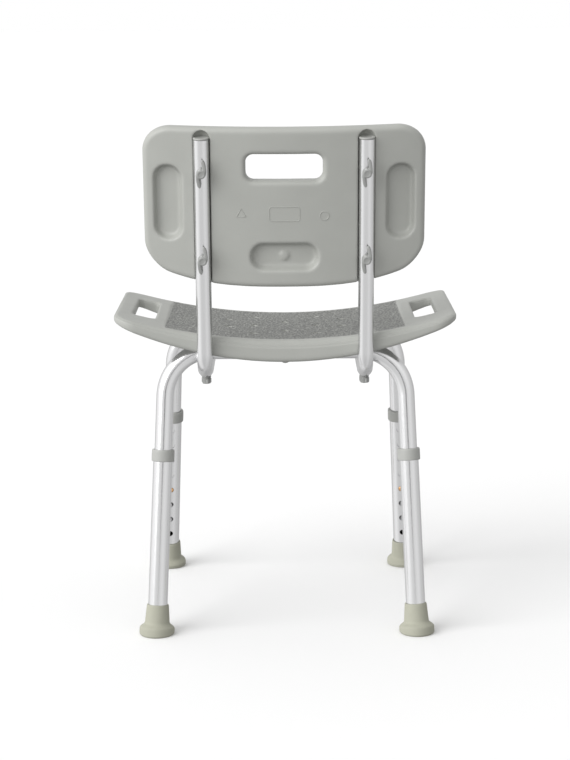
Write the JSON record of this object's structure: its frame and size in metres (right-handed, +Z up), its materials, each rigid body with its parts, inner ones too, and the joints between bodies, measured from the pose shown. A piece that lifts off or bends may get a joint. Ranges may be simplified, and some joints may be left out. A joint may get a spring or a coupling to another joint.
{
  "type": "shower chair",
  "caption": "Shower chair with a curved, drained seat, a curved back on tube arms, splayed legs that telescope on snap buttons, rubber tips and wing screws.",
  "frame": {"origin": "on the floor, under the middle of the chair's bounding box", "axes": "+Z up; -Y the way the sitter faces; +X the sitter's left; the back stands at +Y"},
  "size_m": [0.492, 0.4082, 0.7362],
  "materials": {
    "moulded_plastic": "moulded, lightly grained",
    "aluminium_tube": "satin anodised",
    "grey_fitting": "moulded, smooth",
    "grey_rubber": "matte",
    "knob_plastic": "moulded, smooth",
    "zinc_steel": "zinc plated",
    "brass": "satin"
  },
  "bodies": {
    "chair": {"seat": "moulded_plastic", "back_panel": "moulded_plastic", "front_frame": "aluminium_tube", "rear_frame": "aluminium_tube", "back_arm_left": "aluminium_tube", "arm_top_plug_left": "grey_fitting", "arm_end_plug_left": "grey_fitting", "back_arm_right": "aluminium_tube", "arm_top_plug_right": "grey_fitting", "arm_end_plug_right": "grey_fitting", "front_left_snap_spring": "zinc_steel", "front_right_snap_spring": "zinc_steel", "rear_left_snap_spring": "zinc_steel", "rear_right_snap_spring": "zinc_steel", "seat_rear_left_insert": "brass", "seat_rear_right_insert": "brass", "seat_middle_left_insert": "brass", "seat_middle_right_insert": "brass", "seat_front_left_insert": "brass", "seat_front_right_insert": "brass", "back_upper_left_insert": "brass", "back_lower_left_insert": "brass", "back_upper_right_insert": "brass", "back_lower_right_insert": "brass"},
    "front_left_lower_leg": {"front_left_leg_tube": "aluminium_tube", "front_left_collar": "grey_fitting", "front_left_foot": "grey_rubber"},
    "front_left_button": {"front_left_snap_button": "brass"},
    "front_right_lower_leg": {"front_right_leg_tube": "aluminium_tube", "front_right_collar": "grey_fitting", "front_right_foot": "grey_rubber"},
    "front_right_button": {"front_right_snap_button": "brass"},
    "rear_left_lower_leg": {"rear_left_leg_tube": "aluminium_tube", "rear_left_collar": "grey_fitting", "rear_left_foot": "grey_rubber"},
    "rear_left_button": {"rear_left_snap_button": "brass"},
    "rear_right_lower_leg": {"rear_right_leg_tube": "aluminium_tube", "rear_right_collar": "grey_fitting", "rear_right_foot": "grey_rubber"},
    "rear_right_button": {"rear_right_snap_button": "brass"},
    "seat_rear_left_screw": {"seat_rear_left_wing_knob": "knob_plastic", "seat_rear_left_stud": "zinc_steel"},
    "seat_rear_right_screw": {"seat_rear_right_wing_knob": "knob_plastic", "seat_rear_right_stud": "zinc_steel"},
    "seat_middle_left_screw": {"seat_middle_left_wing_knob": "knob_plastic", "seat_middle_left_stud": "zinc_steel"},
    "seat_middle_right_screw": {"seat_middle_right_wing_knob": "knob_plastic", "seat_middle_right_stud": "zinc_steel"},
    "seat_front_left_screw": {"seat_front_left_wing_knob": "knob_plastic", "seat_front_left_stud": "zinc_steel"},
    "seat_front_right_screw": {"seat_front_right_wing_knob": "knob_plastic", "seat_front_right_stud": "zinc_steel"},
    "back_upper_left_screw": {"back_upper_left_wing_knob": "knob_plastic", "back_upper_left_stud": "zinc_steel"},
    "back_lower_left_screw": {"back_lower_left_wing_knob": "knob_plastic", "back_lower_left_stud": "zinc_steel"},
    "back_upper_right_screw": {"back_upper_right_wing_knob": "knob_plastic", "back_upper_right_stud": "zinc_steel"},
    "back_lower_right_screw": {"back_lower_right_wing_knob": "knob_plastic", "back_lower_right_stud": "zinc_steel"}
  },
  "joints": [
    {"name": "front_left_leg_slide", "type": "slide", "parent": "chair", "child": "front_left_lower_leg", "axis": [0.0436, -0.1494, -0.9878], "range_m": [-0.0508, 0.1016]},
    {"name": "front_left_button_press", "type": "slide", "parent": "chair", "child": "front_left_button", "axis": [0, -0.9888, 0.1495], "range_m": [0, 0.004], "stiffness_N_per_m": 2000, "springref_m": -0.002, "deforming": ["front_left_snap_spring"]},
    {"name": "front_right_leg_slide", "type": "slide", "parent": "chair", "child": "front_right_lower_leg", "axis": [-0.0436, -0.1494, -0.9878], "range_m": [-0.0508, 0.1016]},
    {"name": "front_right_button_press", "type": "slide", "parent": "chair", "child": "front_right_button", "axis": [0, -0.9888, 0.1495], "range_m": [0, 0.004], "stiffness_N_per_m": 2000, "springref_m": -0.002, "deforming": ["front_right_snap_spring"]},
    {"name": "rear_left_leg_slide", "type": "slide", "parent": "chair", "child": "rear_left_lower_leg", "axis": [0.0436, 0.1494, -0.9878], "range_m": [-0.0508, 0.1016]},
    {"name": "rear_left_button_press", "type": "slide", "parent": "chair", "child": "rear_left_button", "axis": [0, 0.9888, 0.1495], "range_m": [0, 0.004], "stiffness_N_per_m": 2000, "springref_m": -0.002, "deforming": ["rear_left_snap_spring"]},
    {"name": "rear_right_leg_slide", "type": "slide", "parent": "chair", "child": "rear_right_lower_leg", "axis": [-0.0436, 0.1494, -0.9878], "range_m": [-0.0508, 0.1016]},
    {"name": "rear_right_button_press", "type": "slide", "parent": "chair", "child": "rear_right_button", "axis": [0, 0.9888, 0.1495], "range_m": [0, 0.004], "stiffness_N_per_m": 2000, "springref_m": -0.002, "deforming": ["rear_right_snap_spring"]},
    {"name": "seat_rear_left_screw_turn", "type": "hinge", "parent": "chair", "child": "seat_rear_left_screw", "pos_m": [0.1143, 0.10398, 0.37066], "axis": [0, 0, -1], "continuous": true},
    {"name": "seat_rear_right_screw_turn", "type": "hinge", "parent": "chair", "child": "seat_rear_right_screw", "pos_m": [-0.1143, 0.10398, 0.37066], "axis": [0, 0, -1], "continuous": true},
    {"name": "seat_middle_left_screw_turn", "type": "hinge", "parent": "chair", "child": "seat_middle_left_screw", "pos_m": [0.1143, -0.04657, 0.37066], "axis": [0, 0, -1], "continuous": true},
    {"name": "seat_middle_right_screw_turn", "type": "hinge", "parent": "chair", "child": "seat_middle_right_screw", "pos_m": [-0.1143, -0.04657, 0.37066], "axis": [0, 0, -1], "continuous": true},
    {"name": "seat_front_left_screw_turn", "type": "hinge", "parent": "chair", "child": "seat_front_left_screw", "pos_m": [0.085, -0.11711, 0.394], "axis": [0, 0, -1], "continuous": true},
    {"name": "seat_front_right_screw_turn", "type": "hinge", "parent": "chair", "child": "seat_front_right_screw", "pos_m": [-0.085, -0.11711, 0.394], "axis": [0, 0, -1], "continuous": true},
    {"name": "back_upper_left_screw_turn", "type": "hinge", "parent": "chair", "child": "back_upper_left_screw", "pos_m": [0.1143, 0.19121, 0.67174], "axis": [0, 0.9936, -0.1132], "continuous": true},
    {"name": "back_lower_left_screw_turn", "type": "hinge", "parent": "chair", "child": "back_lower_left_screw", "pos_m": [0.1143, 0.1773, 0.54973], "axis": [0, 0.9936, -0.1132], "continuous": true},
    {"name": "back_upper_right_screw_turn", "type": "hinge", "parent": "chair", "child": "back_upper_right_screw", "pos_m": [-0.1143, 0.19121, 0.67174], "axis": [0, 0.9936, -0.1132], "continuous": true},
    {"name": "back_lower_right_screw_turn", "type": "hinge", "parent": "chair", "child": "back_lower_right_screw", "pos_m": [-0.1143, 0.1773, 0.54973], "axis": [0, 0.9936, -0.1132], "continuous": true}
  ]
}
